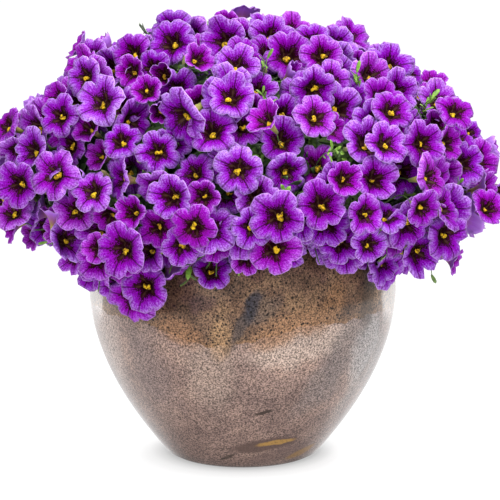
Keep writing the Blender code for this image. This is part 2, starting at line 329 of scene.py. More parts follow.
# Woody collar and roots: flaking brown bark
def barkMaterial():
    material, add = newMaterial("woodyCrownBark")
    place = add("TexCoord").outputs["Object"]
    flake = add("TexVoronoi", {"Vector": place, "Scale": 1 / (2.5 * mm)})
    colour = add("ValToRGB", (flake,), stops=[(0.0, "#3c2c1c"), (0.5, "#6b5236"), (1.0, "#9a8058")])
    bump = add("Bump", {"Strength": 0.7, "Distance": 0.6 * mm, "Height": flake})
    return finishMaterial(material, {"Base Color": colour, "Normal": bump, "Roughness": 0.9})


# Potting mix: dark, fibrous and crumbly, with white perlite grains of 2 to 3 mm
def soilMaterial():
    material, add = newMaterial("pottingMixCrumbly")
    place = add("TexCoord").outputs["Object"]
    crumb = add("TexNoise", {"Vector": place, "Scale": 1 / (4 * mm), "Detail": 6.0, "Roughness": 0.7})
    grain = add("TexVoronoi", {"Vector": place, "Scale": 1 / (7 * mm)})
    colour = add("ValToRGB", (crumb,), stops=[(0.3, "#120c08"), (0.55, "#2f2218"), (0.8, "#5b432c")])
    perlite = add("MapRange", (grain, 0.15, 0.19, 1.0, 0.0))
    colour = add("MixRGB", (perlite, colour, srgb("#d8d2c4")))
    bump = add("Bump", {"Strength": 0.9, "Distance": 2 * mm, "Height": crumb})
    return finishMaterial(material, {"Base Color": colour, "Normal": bump, "Roughness": 0.95})


# Reactive glaze on stoneware: a glassy coat that fired brown and speckled above, and broke to mauve where it
# ran thin below, with ochre and slate clouds, dips in its edge and small scars under the gloss. The brown
# above is partly painted shade and reflection from the blooms that hang over it, and the mauve darkens
# towards the foot as painted shade
glazeLook = {
    "edge": 0.1115, "edgeWave": 0.0030, "edgeSize": 13 * mm, "cloudDepth": 30 * mm,
    # angle round from the front, half width and drop of each place where the edge of the brown upper zone,
    # with its painted shade, reaches further down
    "edgeDips": [(-8, 0.045, 0.0135), (95, 0.040, 0.010), (170, 0.055, 0.016), (-110, 0.050, 0.013)],
    # angle, height, half length, half width, slant, colour and strength of each cloud: first those under the
    # upper glaze, then those on it
    "lowClouds": [
        # the pale clouds at 24, 54 and -62 degrees are painted reflections of the bright studio
        (-12, 0.088, 0.040, 0.016, 95, "#9c887c", 0.6), (24, 0.098, 0.012, 0.040, 80, "#bba79a", 0.7),
        (38, 0.080, 0.050, 0.013, 118, "#746a68", 0.65), (-38, 0.076, 0.034, 0.015, 75, "#7d6a66", 0.7),
        (-62, 0.092, 0.034, 0.016, 95, "#b39e94", 0.7), (60, 0.070, 0.040, 0.010, 110, "#8a8482", 0.5),
        (54, 0.090, 0.028, 0.013, 95, "#a5a3a3", 0.6),
        (120, 0.080, 0.040, 0.015, 110, "#6c625f", 0.7), (160, 0.070, 0.045, 0.017, 85, "#b09880", 0.7),
        (-130, 0.075, 0.044, 0.014, 70, "#6c625f", 0.7), (-95, 0.070, 0.040, 0.016, 95, "#b39e94", 0.6),
    ],
    "highClouds": [
        (8, 0.123, 0.013, 0.0065, 140, "#5a504c", 0.55), (0, 0.115, 0.021, 0.0042, 118, "#453d3c", 0.8),
        (4.5, 0.1265, 0.012, 0.0050, 118, "#35353e", 0.85), (-4, 0.101, 0.010, 0.0030, 118, "#5c4c45", 0.6),
        (-24, 0.108, 0.018, 0.009, 25, "#966e50", 0.7), (17, 0.111, 0.026, 0.010, 158, "#9a7252", 0.7),
        (-8, 0.104, 0.014, 0.008, 100, "#a8845e", 0.6), (33, 0.122, 0.020, 0.007, 120, "#906a4a", 0.65),
        (52, 0.126, 0.020, 0.009, 100, "#42342a", 0.7), (-45, 0.125, 0.018, 0.008, 60, "#7c5c40", 0.6),
        (-15, 0.128, 0.006, 0.012, 85, "#4a3438", 0.7), (95, 0.114, 0.026, 0.010, 20, "#a06a3e", 0.75),
        (140, 0.122, 0.022, 0.009, 100, "#34333c", 0.8), (180, 0.110, 0.028, 0.010, 10, "#a8744a", 0.75),
        (-100, 0.118, 0.022, 0.009, 80, "#34333c", 0.8), (-140, 0.113, 0.026, 0.010, 160, "#a06a3e", 0.75),
    ],
    "scars": [
        (13, 0.0205, 0.023, 0.0056, 174, "#54403a", 0.9), (19, 0.0222, 0.013, 0.0021, 174, "#a07a3c", 0.9),
        (24, 0.0110, 0.022, 0.0050, 168, "#5f4a46", 0.6),
        (42, 0.010, 0.011, 0.0036, 165, "#8c6836", 0.8), (9, 0.0485, 0.006, 0.0013, 162, "#32261f", 0.9),
        (-10, 0.010, 0.007, 0.0012, 150, "#32261f", 0.8), (170, 0.022, 0.018, 0.0040, 5, "#8c6836", 0.8),
        (-80, 0.040, 0.008, 0.0016, 20, "#32261f", 0.8),
    ],
}


# lays clouds or scars over a colour; stirring them by so many metres of noise makes their outlines ragged
def paintClouds(add, clouds, stir, softness, stirrer, place, colour):
    stirred = add("VectorMath", (stirrer.outputs["Color"], (stir, stir, stir), place),
                  operation="MULTIPLY_ADD")
    for angle, level, length, width, slant, tone, strength in clouds:
        turned, out = math.radians(angle), potRadius(level)
        spot = (out * math.sin(turned) + stir / 2, -out * math.cos(turned) + stir / 2, level + stir / 2)
        local = add("Mapping", (stirred, spot, (0, math.radians(slant), turned),
                                (length, glazeLook["cloudDepth"], width)), vector_type="TEXTURE")
        away = add("VectorMath", (local,), operation="LENGTH").outputs["Value"]
        inside = add("MapRange", (away, 1 - softness / 2, 1 + softness / 2, strength, 0.0),
                     interpolation_type="SMOOTHSTEP")
        colour = add("MixRGB", (inside, colour, srgb(tone)))
    return colour


def glazeMaterial():
    material, add = newMaterial("reactiveGlazeStoneware")
    place = add("TexCoord").outputs["Object"]
    height = add("SeparateXYZ", (place,)).outputs["Z"]
    ripple, grain, cloudy, wave = [
        add("TexNoise", {"Vector": place, "Scale": 1 / size, "Detail": detail, "Roughness": roughness})
        for size, detail, roughness in ((glazeLook["edgeSize"], 5.0, 0.55), (1.15 * mm, 2.0, 0.7),
                                        (22 * mm, 6.0, 0.62), (11 * mm, 3.0, 0.5))]
    speck, fineSpeck = [add("TexVoronoi", {"Vector": place, "Scale": 1 / size})
                        for size in (3.4 * mm, 1.9 * mm)]
    # the edge between the two looks of the glaze; above it the brown is partly painted shade and reflection
    # from the blooms that hang over the pot
    waver = glazeLook["edgeWave"]
    edge = add("Math", (ripple, 4 * waver, glazeLook["edge"] - 2 * waver), operation="MULTIPLY_ADD")
    flat = add("VectorMath", (place, (1, 1, 0)), operation="MULTIPLY")
    for angle, width, drop in glazeLook["edgeDips"]:
        turned = math.radians(angle)
        spot = (pot["belly"] * math.sin(turned), -pot["belly"] * math.cos(turned), 0)
        away = add("VectorMath", (flat, spot), operation="DISTANCE").outputs["Value"]
        fall = add("MapRange", (away, 0.0, width * 1.4, drop, 0.0), interpolation_type="SMOOTHSTEP")
        edge = add("Math", (edge, fall), operation="SUBTRACT")
    over = add("Math", (height, edge), operation="SUBTRACT")
    upper = add("MapRange", (over, -0.3 * mm, 0.5 * mm))
    lip = add("MapRange", (over, 0.0, 5 * mm, 0.55, 0.0))
    rim = add("Math", (lip, upper), operation="MULTIPLY")
    # painted shade: the mauve darkens towards the foot
    low = add("MapRange", (height, 0.0, 0.075, 0.6, 0.0))
    brown = add("ValToRGB", (cloudy,), stops=[(0.38, "#5c4434"), (0.50, "#735845"), (0.62, "#86694f")])
    mauve = add("ValToRGB", (cloudy,), stops=[(0.36, "#75605a"), (0.50, "#8c746b"), (0.64, "#a2877a")])
    colour = add("MixRGB", (low, mauve, srgb("#685149")))
    colour = paintClouds(add, glazeLook["lowClouds"], 26 * mm, 0.9, cloudy, place, colour)
    colour = add("MixRGB", (upper, colour, brown))
    colour = add("MixRGB", (rim, colour, srgb("#8e6a4a")))
    colour = paintClouds(add, glazeLook["highClouds"], 18 * mm, 0.8, cloudy, place, colour)
    # crystals in the glaze, pale and dark, drawn from a millimetre up so that they show
    shade = add("MapRange", (grain, 0.38, 0.62, 0.30, 1.55))
    colour = add("HueSaturation", {"Value": shade, "Color": colour})
    colour = paintClouds(add, glazeLook["scars"], 6 * mm, 0.5, cloudy, place, colour)
    # iron specks, drawn from half a millimetre up so that they show
    for source, size, share, below, tone in ((fineSpeck, 0.30, 0.75, 0.55, "#30241f"),
                                             (speck, 0.28, 0.95, 0.2, "#17100d")):
        dots = add("MapRange", (source, size * 0.7, size, share, 0.0))
        shared = add("MapRange", (upper, 0.0, 1.0, below, 1.0))
        amount = add("Math", (dots, shared), operation="MULTIPLY")
        colour = add("MixRGB", (amount, colour, srgb(tone)))
    bump = add("Bump", {"Strength": 0.3, "Distance": 0.7 * mm, "Height": wave})
    pits = add("Bump", {"Strength": 0.3, "Distance": 0.2 * mm, "Height": grain, "Normal": bump})
    return finishMaterial(material, {
        "Base Color": colour, "Normal": pits, "Roughness": 0.35, "IOR": 1.5, "Specular IOR Level": 0.2,
        "Coat Weight": 0.85, "Coat Roughness": 0.04, "Coat IOR": 1.5, "Coat Normal": bump})


petalFront, petalBack, pollen = petalMaterial(), petalBackMaterial(), pollenMaterial()
leafGreen, stemGreen = leafMaterial(), stemMaterial()
print("materials made")

bloom = {
    "radius": 17 * mm, "wall": 0.28 * mm, "reach": (0.90, 1.07), "sinus": (0.17, 0.34), "sinusWidth": 0.12,
    "rib": (-0.01, 0.04), "ribWidth": 0.09, "puff": 1.8 * mm, "waver": 0.010, "ruffle": 0.35 * mm,
    "foldShare": 0.12, "fold": 5.5 * mm, "flareFrom": 0.3, "curl": 1.5, "throatFloor": -6.2 * mm,
    # share of the radius, height in mm, level from the tube's foot to the petals' edge
    "tube": [(0.06, -18.0, 0.0), (0.13, -10.0, 0.18), (0.25, -5.2, 0.32)],
    "limb": [(0.38, -2.3, 0.42), (0.58, -0.8, 0.60), (0.82, 0.0, 0.82), (1.0, -1.3, 1.0)],
    "tubeSteps": 10, "petalStops": (0.0, 0.10, 0.27, 0.5, 0.73, 0.90),
    "eyeLumps": (2, 4), "eyeSize": (1.3, 2.1), "eyeHeight": -4.8,
    # how many shapes of each kind there are, the sizes that they open at, and the shares of the younger kinds
    "openShapes": 14, "openSize": (0.94, 0.085), "youngShapes": 4, "youngSize": (0.74, 0.9), "young": 0.16,
    "furledShapes": 3, "furledSize": (0.65, 0.85), "furled": 0.04,
}
# where a bloom's front, back and eye lie in its cell of the bake map
bakeCell = {"front": (0.25, 0.56), "back": (0.75, 0.56), "disc": 0.40, "strip": 0.11}


# share of the radius that a petal's edge reaches; its rib is at 0.5, and it meets its neighbours at 0 and 1
def petalReach(part, sinus, rib):
    notch = sinus * math.exp(-min(part, 1 - part) / bloom["sinusWidth"])
    return 1 - notch - rib * math.exp(-((part - 0.5) / bloom["ribWidth"]) ** 2)


def setUv(face, layer, spots):
    for loop, spot in zip(face.loops, spots):
        loop[layer].uv = spot


def turnOf(vert):  # 0 to 5 round the bloom, one for each petal
    return math.atan2(vert.co.y, vert.co.x) % tau / tau * 5


def unwrapped(turns, whole):  # a face that lies across the seam keeps its corners side by side on the map
    across = max(turns) - min(turns) > whole / 2
    return [turn + whole if across and turn < whole / 2 else turn for turn in turns]


def makeBloom(name, seed, cup, frill, spread=1.0):
    chance = np.random.RandomState(seed)
    reach, lift = chance.uniform(*bloom["reach"], 5), chance.uniform(-1, 1, 5) * frill
    fold = bloom["fold"] if spread == 1 else 0  # only wide open petals fold over
    lift += fold * (chance.uniform(size=5) < bloom["foldShare"]) * chance.choice([-1, 1], 5)
    sinuses, ribs = chance.uniform(*bloom["sinus"], 5), chance.uniform(*bloom["rib"], 5)
    bm = bmesh.new()
    level = bm.verts.layers.float.new("level")
    rings = []
    for share, height, mark in bloom["tube"] + bloom["limb"]:
        inLimb = share > bloom["tube"][-1][0]
        turns = [petal + stop for petal in range(5) for stop in bloom["petalStops"]] if inLimb else \
            [5 * step / bloom["tubeSteps"] for step in range(bloom["tubeSteps"])]
        ring = bmesh.ops.create_circle(bm, segments=len(turns), radius=1, cap_ends=not rings,
                                       matrix=Matrix.Translation((0, 0, len(rings))))["verts"]
        edges = list(dict.fromkeys(edge for vert in ring for edge in vert.link_edges))
        rings.append((ring, edges, turns, share, height, mark))
    # the rings are bridged while they stand evenly over each other, and then shaped
    for inner, outer in zip(rings, rings[1:]):
        bmesh.ops.bridge_loops(bm, edges=inner[1] + outer[1])
    for ring, _, turns, share, height, mark in rings:
        out = max(0, (share - bloom["flareFrom"]) / (1 - bloom["flareFrom"]))
        for vert, turn in zip(ring, turns):
            petal, part = int(turn), turn % 1
            arch = math.sin(math.pi * part)
            sinus = sinuses[petal if part < 0.5 else (petal + 1) % 5]
            length = 1 + out * (petalReach(part, sinus, ribs[petal]) * (1 + (reach[petal] - 1) * arch) - 1)
            length *= 1 + out * chance.normal(0, bloom["waver"])
            size = bloom["radius"] * share * length * (1 + (spread - 1) * out)
            puff = bloom["puff"] * min(1, 1.6 * out) * (math.sin(tau * part) ** 2 - 0.4)
            ruffle = chance.normal(0, bloom["ruffle"]) * out
            vert.co = (size * math.cos(turn * tau / 5), size * math.sin(turn * tau / 5),
                       height * mm + puff + ruffle + (cup + lift[petal] * arch) * out ** bloom["curl"])
            vert[level] = mark
    bmesh.ops.recalc_face_normals(bm, faces=bm.faces)
    if sum(face.normal.z * face.calc_area() for face in bm.faces) < 0:
        bmesh.ops.reverse_faces(bm, faces=bm.faces)
    bm.normal_update()
    copied = bmesh.ops.duplicate(bm, geom=bm.verts[:] + bm.edges[:] + bm.faces[:])["geom"]
    backVerts = {vert for vert in copied if isinstance(vert, bmesh.types.BMVert)}
    backFaces = [face for face in copied if isinstance(face, bmesh.types.BMFace)]
    for vert, normal in [(vert, vert.normal.copy()) for vert in backVerts]:
        vert.co -= normal * bloom["wall"]
    bmesh.ops.reverse_faces(bm, faces=backFaces)
    for face in backFaces:
        face.material_index = 1
    bmesh.ops.bridge_loops(bm, edges=[edge for edge in bm.edges if edge.is_boundary])
    petalMap, bakeMap = [bm.loops.layers.uv.new(name) for name in ("petalMap", "OFBake")]
    for face in bm.faces:
        turns = unwrapped([turnOf(vert) for vert in face.verts], 5)
        setUv(face, petalMap, [(turn, vert[level]) for turn, vert in zip(turns, face.verts)])
        isBack = face.material_index == 1
        middle = bakeCell["back" if isBack else "front"]
        out = [vert[level] + (0.08 if vert in backVerts and not isBack else 0) for vert in face.verts]
        setUv(face, bakeMap, [(middle[0] + 0.5 * bakeCell["disc"] * far * math.cos(turn * tau / 5),
                               middle[1] + bakeCell["disc"] * far * math.sin(turn * tau / 5))
                              for far, turn in zip(out, turns)])
    # a thin floor closes the throat below the eye
    shares, heights, _ = zip(*bloom["tube"])
    inner = np.interp(bloom["throatFloor"] / mm, heights, shares) * bloom["radius"]
    under = Matrix.Translation((0, 0, bloom["throatFloor"] - bloom["wall"] / 2))
    under = Matrix.Rotation(-math.pi / 2, 4, "Z") @ under
    rim = bmesh.ops.create_cone(bm, cap_ends=True, segments=bloom["tubeSteps"], radius1=inner, radius2=inner,
                                depth=bloom["wall"], matrix=under)["verts"]
    for face in dict.fromkeys(face for vert in rim for face in vert.link_faces):
        setUv(face, petalMap, [(turnOf(vert), 0.24) for vert in face.verts])
        setUv(face, bakeMap, [(bakeCell["front"][0] + 4 * vert.co.x, bakeCell["front"][1] + 8 * vert.co.y)
                              for vert in face.verts])
    eyeFaces = []
    for k in range(chance.randint(*bloom["eyeLumps"])):
        turn, away = chance.uniform(0, tau), 1.6 * (k > 0)
        height = bloom["eyeHeight"] + chance.uniform(-0.4, 0.4)
        spot = Matrix.Translation(Vector((0.9 + away * math.cos(turn), away * math.sin(turn), height)) * mm)
        turned = Matrix.Rotation(chance.uniform(0, tau), 4, "Z")
        sized = Matrix.Diagonal((chance.uniform(0.6, 1.0), chance.uniform(0.9, 1.5), 0.55, 1))
        lump = bmesh.ops.create_icosphere(bm, subdivisions=1, radius=chance.uniform(*bloom["eyeSize"]) * mm,
                                          matrix=spot @ turned @ sized)["verts"]
        for vert in lump:
            vert.co += Vector(chance.normal(0, 0.22, 3)) * mm
        bm.faces.index_update()
        eyeFaces += sorted({face for vert in lump for face in vert.link_faces}, key=lambda face: face.index)
    for index, face in enumerate(eyeFaces):
        face.material_index = 2
        left, right = index / len(eyeFaces), (index + 0.8) / len(eyeFaces)
        setUv(face, bakeMap, [(left, 0.01), (right, 0.01), (left, bakeCell["strip"])])
    return finishShape(name, bm)


bakeSpots = {}  # each shape's bake map, kept apart because a mesh and its copies share one


def finishShape(name, bm):
    mesh = meshOf(name, bm)
    mesh.shade_smooth()
    mesh.attributes.new("tint", "FLOAT_COLOR", "POINT")
    bakeMap = mesh.uv_layers["OFBake"].uv
    bakeSpots[name] = np.empty(len(bakeMap) * 2, np.float32)
    bakeMap.foreach_get("vector", bakeSpots[name])
    return mesh


# adds a transformed copy of a shape to bm, in its own cell of the bake map
def stamp(bm, shape, matrix, tint, cell):
    copy = shape.copy()
    copy.transform(matrix)
    column, row, columns, rows = cell
    spots = bakeSpots[shape.name].copy()
    spots[0::2] = (column + spots[0::2]) / columns
    spots[1::2] = (row + spots[1::2]) / rows
    copy.uv_layers["OFBake"].uv.foreach_set("vector", spots)
    tints = np.tile(np.array([*tint, 1], np.float32), len(copy.vertices))
    copy.attributes["tint"].data.foreach_set("color", tints)
    bm.from_mesh(copy)
    bpy.data.meshes.remove(copy)


# joins the stamps of one cluster; a cell is twice as wide as high, because a shape has two sides to lay out
def stampAll(stamps):
    columns = math.ceil(math.sqrt(len(stamps) / 2))
    rows = math.ceil(len(stamps) / columns)
    bm = bmesh.new()
    for index, (shape, matrix, tint) in enumerate(stamps):
        stamp(bm, shape, matrix, tint, (index % columns, index // columns, columns, rows))
    return bm


chance = np.random.RandomState(18)
openShapes = [makeBloom(f"openBloom{k}", 20 + k, chance.uniform(-2, 3) * mm, chance.uniform(0.8, 2.8) * mm)
              for k in range(bloom["openShapes"])]
youngShapes = [makeBloom(f"youngBloom{k}", 60 + k, chance.uniform(3, 6) * mm, 1.6 * mm, 0.86)
               for k in range(bloom["youngShapes"])]
furledShapes = [makeBloom(f"furledBloom{k}", 80 + k, chance.uniform(8, 12) * mm, 0.8 * mm, 0.58)
                for k in range(bloom["furledShapes"])]

places = moundPlaces(mound["blooms"] + mound["below"], mound["scatter"], mound["blooms"])[:mound["blooms"]]
seeds = moundPlaces(len(shootNames), 0.0, len(shootNames))


def homeOf(place):  # the shoot that carries whatever grows at a place
    return min(range(len(seeds)), key=lambda k: (place - seeds[k]).length)


# neighbouring blooms stand at different depths, so that they overlap like shingles
spacing = {
    "depths": 4, "step": 4.6 * mm, "sink": 14.5 * mm, "reach": 34 * mm, "tilt": 18, "twist": 0.9,
    "faceUp": math.radians(11), "faceShare": 0.45, "backShare": 0.4, "light": Vector((0, -0.28, 0)),
    "crestFrom": -10 * mm, "crestTo": 40 * mm, "awayShare": 0.13, "turnedAway": (26, 50),
    "apart": 8.5 * mm, "apartFar": 3.5 * mm, "beside": 19 * mm, "push": 0.25, "pushAside": 0.2, "rounds": 60,
    "swing": 12 * mm, "batches": 5, "extra": 44, "extraSink": 12 * mm, "extraGap": 22 * mm,
    "probes": 1500, "probeSpread": 1400, "potGap": 3 * mm, "clear": 2 * mm, "wallTurns": 4,
}


def finderOf(spots):  # finds which of the spots lie near a place
    finder = kdtree.KDTree(len(spots))
    for index, spot in enumerate(spots):
        finder.insert(spot, index)
    finder.balance()
    return finder


finder = finderOf(places)
depthOf = [None] * len(places)
for index in chance.permutation(len(places)):
    near = [depthOf[other] for _, other, _ in finder.find_range(places[index], spacing["reach"])
            if depthOf[other] is not None]
    crowding = [near.count(step) + 0.3 * chance.uniform() for step in range(spacing["depths"])]
    depthOf[index] = int(np.argmin(crowding))


# a bloom's centre and turn: its face looks sideways out of the mound, and a little up
def standOut(place, depth):
    normal = moundNormal(place)
    # behind the crest they look further up, and in front of it they lean to the light
    behind = (place.y - spacing["crestFrom"]) / (spacing["crestTo"] - spacing["crestFrom"])
    behind = min(1, max(0, behind))
    rise = spacing["faceUp"] + (spacing["faceShare"] + spacing["backShare"] * behind) * math.asin(normal.z)
    light = spacing["light"] * (1 + 2.5 * max(0, normal.z) ** 3) * (1 - behind)
    facing = (levelOf(normal) * math.cos(rise) + up * math.sin(rise) + light).normalized()
    across = facing.orthogonal().normalized()
    tilt = spacing["tilt"] * (1 - 0.5 * behind * max(0, normal.z))
    lean = abs(chance.normal(0, tilt))
    if chance.uniform() < spacing["awayShare"]:
        lean += chance.uniform(*spacing["turnedAway"])
    lean = Quaternion(facing, chance.uniform(0, tau)) @ across * math.tan(math.radians(lean))
    axis = (facing + lean).normalized()
    down = axis * axis.z - up
    side = down if down.length > 0.05 else across
    side = Quaternion(axis, chance.normal(0, spacing["twist"])) @ side.normalized()
    side = (side - axis * side.dot(axis)).normalized()
    turned = Matrix((side, axis.cross(side), axis)).transposed().to_4x4()
    sink = up * mound["crestSink"] * behind * max(0, normal.z) ** 2
    return settle(place) + normal * depth - sink, turned


blooms = []


def openBloom(place, depth):
    kind = chance.uniform()
    if kind < bloom["furled"]:
        shape, size = furledShapes[chance.randint(len(furledShapes))], chance.uniform(*bloom["furledSize"])
        tint = (chance.uniform(0.6, 1), chance.uniform(0.3, 0.8), 0)
    elif kind < bloom["furled"] + bloom["young"]:
        shape, size = youngShapes[chance.randint(len(youngShapes))], chance.uniform(*bloom["youngSize"])
        tint = (chance.uniform(0.7, 1), chance.uniform(0.4, 0.9), 0)
    else:
        shape, size = openShapes[chance.randint(len(openShapes))], chance.normal(*bloom["openSize"])
        tint = (chance.beta(0.8, 2.0), chance.uniform(0.15, 1.0), 0)
    centre, turned = standOut(place, depth)
    blooms.append({"place": place, "shape": shape, "tint": tint, "turned": turned, "size": size,
                   "centre": centre, "start": centre.copy(), "axis": turned.col[2].xyz})


# overlapping blooms slide in or out along their axes until one lies in front of the other
def makeRoom(rounds):
    for turn in range(rounds):
        near = finderOf([one["centre"] for one in blooms])
        for index, one in enumerate(blooms):
            for _, other, _ in near.find_range(one["centre"], 2 * bloom["radius"]):
                if other > index:
                    pushApart(one, blooms[other])
        for one in blooms:
            strayed = one["centre"] - one["start"]
            if strayed.length > spacing["swing"]:
                one["centre"] = one["start"] + strayed.normalized() * spacing["swing"]
            # blooms beside the pot keep clear of its wall
            outwards = levelOf(one["centre"])
            side = (outwards - one["axis"] * outwards.dot(one["axis"])) * bloom["radius"]
            for spot in (one["centre"] - side, one["centre"] + one["axis"] * bloom["tube"][0][1] * mm):
                into = potRadius(spot.z) + spacing["potGap"] - spot.xy.length
                if spot.z < potHigh.z and into > 0:
                    one["centre"] += outwards * into


def pushApart(one, two):
    between = two["centre"] - one["centre"]
    along = (one["axis"] + two["axis"]).normalized()
    middle = (one["centre"] + two["centre"]) / 2
    ahead = ((two["centre"] - middle).dot(two["axis"]) / along.dot(two["axis"])
             - (one["centre"] - middle).dot(one["axis"]) / along.dot(one["axis"]))
    aside = between - along * between.dot(along)
    far = min(1, max(0, (aside.length - spacing["beside"]) / (2 * bloom["radius"] - spacing["beside"])))
    wanted = spacing["apart"] + (spacing["apartFar"] - spacing["apart"]) * far
    if far < 1 and abs(ahead) < wanted:
        push = along * (spacing["push"] * (wanted - abs(ahead)) * (1 if ahead > 0 else -1))
        if far == 0:
            push += aside.normalized() * spacing["pushAside"] * (spacing["beside"] - aside.length)
        one["centre"] -= push
        two["centre"] += push


def widestGaps(count, apart, sink):  # the spots on the mound that are farthest from any bloom
    near = finderOf([one["centre"] for one in blooms])
    spots = moundPlaces(spacing["probes"], 0.0, spacing["probeSpread"])
    picked = []
    for spot in sorted(spots, key=lambda spot: -near.find(settle(spot) - moundNormal(spot) * sink)[2]):
        if len(picked) < count and all((spot - other).length > apart for other in picked):
            picked.append(spot)
    return picked


for index, place in enumerate(places):
    openBloom(place, depthOf[index] * spacing["step"] - spacing["sink"])
makeRoom(spacing["rounds"])
# more blooms open lower down, where the others leave the widest gaps
for batch in range(spacing["batches"]):
    for place in widestGaps(spacing["extra"], spacing["extraGap"], spacing["extraSink"]):
        openBloom(place, -spacing["extraSink"])
    makeRoom(spacing["rounds"] // 3)


def intoWall(spot):  # how far a spot has to move outwards to leave the pot's wall
    deep = potRadius(spot.z) + spacing["clear"] - spot.xy.length
    inWall = spot.z < potHigh.z + spacing["clear"] and 0 < deep < pot["wall"] + 2 * spacing["clear"]
    return deep if inWall else 0


for one in blooms:
    one["matrix"] = Matrix.Translation(one["centre"]) @ one["turned"] @ Matrix.Scale(one["size"], 4)
    outwards = levelOf(one["centre"])
    for turn in range(spacing["wallTurns"] if one["centre"].z < potHigh.z + bloom["radius"] else 0):
        into = max(intoWall(one["matrix"] @ vert.co) for vert in one["shape"].vertices)
        one["matrix"].translation += outwards * into
    one["centre"] = one["matrix"].translation

for number, shoot in enumerate(shootNames):
    own = [(one["shape"], one["matrix"], one["tint"]) for one in blooms if homeOf(one["place"]) == number]
    addPiece(f"bloomCluster{shoot}", stampAll(own), [petalFront, petalBack, pollen], [f"flowers_{shoot}"])
print("blooms placed:", len(blooms))

# leaves, calyxes, twigs and buds; leaves and sepals are measured in mm, and youth and painted shade run from
# dark green, for leaves deep in the plant, to light young green
foliage = {
    "perBloom": 10, "leafLength": (9, 16), "leafWidth": (3.2, 5.2), "stray": 15 * mm, "shallow": 15 * mm,
    "deep": 30 * mm, "inner": 5, "innerDepth": 42 * mm, "innerLength": (18, 26), "innerWidth": (7, 10),
    "innerStray": 10 * mm, "sepalLength": 8.5, "sepalWidth": 1.7, "sepalSpread": (0.4, 1.0),
    "sepalYouth": (0.4, 1), "pedicel": 16 * mm, "twig": 0.8 * mm, "near": 30 * mm,
    # a bloom's face is kept clear out to a share of its radius and above a cone: mm at its tip, and its rise
    "clearTo": 1.12, "coneTip": -11, "coneRise": 9,
}


def makeLeaf(name, arch, fold):  # 1 m long and wide, with its base at the origin; a stamp gives it its size
    bm = bmesh.new()
    verts = bmesh.ops.create_uvsphere(bm, u_segments=6, v_segments=4, radius=0.5,
                                      matrix=Matrix.Rotation(math.pi / 2, 4, "Y"))["verts"]
    for vert in verts:
        x, y, z = vert.co
        x += 0.5
        y *= 0.72 + 0.55 * x
        vert.co = (x, y, z * 0.22 - arch * x * x + fold * abs(y))
    orderFaces(bm)
    petalMap, bakeMap = [bm.loops.layers.uv.new(name) for name in ("petalMap", "OFBake")]
    for face in bm.faces:
        setUv(face, petalMap, [(abs(vert.co.y), vert.co.x) for vert in face.verts])
        middle = face.calc_center_median()
        aside = 0.5 if middle.z > -arch * middle.x ** 2 + fold * abs(middle.y) else 0
        setUv(face, bakeMap, [(0.03 + 0.44 * vert.co.x + aside, 0.5 + 0.7 * vert.co.y)
                              for vert in face.verts])
    return finishShape(name, bm)


def makeTwig(name, bend):  # 1 m long from the origin up +Z and 1 m thick, bowed towards +X
    bm = bmesh.new()
    bmesh.ops.create_cone(bm, cap_ends=True, segments=5, radius1=0.55, radius2=0.45, depth=1,
                          matrix=Matrix.Translation((0, 0, 0.5)))
    sides = [edge for edge in bm.edges if abs(edge.verts[0].co.z - edge.verts[1].co.z) > 0.5]
    bmesh.ops.subdivide_edges(bm, edges=sides, cuts=3, use_grid_fill=False)
    petalMap, bakeMap = [bm.loops.layers.uv.new(name) for name in ("petalMap", "OFBake")]
    for face in bm.faces:
        turns = unwrapped([math.atan2(vert.co.y, vert.co.x) / tau % 1 for vert in face.verts], 1)
        setUv(face, petalMap, [(0.3, vert.co.z) for vert in face.verts])
        setUv(face, bakeMap, [(0.05 + 0.9 * vert.co.z, 0.05 + 0.75 * turn)
                              for vert, turn in zip(face.verts, turns)])
    for vert in bm.verts:
        vert.co.x += bend * math.sin(math.pi * vert.co.z)
    return finishShape(name, bm)


leafShapes = [makeLeaf(f"leaf{k}", arch, fold)
              for k, (arch, fold) in enumerate(((0.4, 0.3), (0.9, 0.5), (-0.4, 0.35)))]
twigShapes = [makeTwig(f"twig{k}", bend) for k, bend in enumerate((3.0, -3.0))]
growth = [[] for _ in shootNames]
stemTips = []
for shoot in shootNames:
    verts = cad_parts[f"stem_{shoot}"].data.vertices
    stemTips.append(max((vert.co.copy() for vert in verts), key=lambda co: co.xy.length + co.z))
bloomFinder = finderOf([one["centre"] for one in blooms])
for one in blooms:
    one["inverse"] = one["matrix"].inverted()


# a leaf's +X runs along the direction, and its upper side looks towards the face
def addLeaf(home, foot, direction, face, length, width, youthAndPaintedShade, dryness=0):
    shape = leafShapes[chance.randint(len(leafShapes))]
    direction = direction.normalized()
    side = face.cross(direction).normalized()
    turned = Matrix((direction, side, direction.cross(side))).transposed().to_4x4()
    sized = Matrix.Diagonal((length * mm, width * mm, width * mm, 1))
    growth[home].append((shape, Matrix.Translation(foot) @ turned @ sized, (youthAndPaintedShade, 0.5, dryness)))


def addTwig(home, start, end, thickness):
    shape, along = twigShapes[chance.randint(len(twigShapes))], end - start
    turned = along.to_track_quat("Z", "X").to_matrix().to_4x4()
    sized = Matrix.Diagonal((thickness, thickness, along.length, 1))
    growth[home].append((shape, Matrix.Translation(start) @ turned @ sized, (0.3, 0.5, 0)))


def anyDirection():
    return Vector(chance.normal(0, 1, 3)).normalized()


def anyWayAlong(normal):  # any direction that runs along the mound
    around = anyDirection()
    return (around - normal * around.dot(normal)).normalized()


def outFrom(axis, turn):
    return (Quaternion(axis, turn) @ axis.orthogonal()).normalized()


def isClear(*spots):  # true where a leaf would lie behind the blooms, not across their faces
    for spot in spots:
        for _, index, _ in bloomFinder.find_range(spot, foliage["near"]):
            local = blooms[index]["inverse"] @ spot
            out = local.xy.length / bloom["radius"]
            if out < foliage["clearTo"] and local.z > (foliage["coneTip"] + foliage["coneRise"] * out) * mm:
                return False
    return True


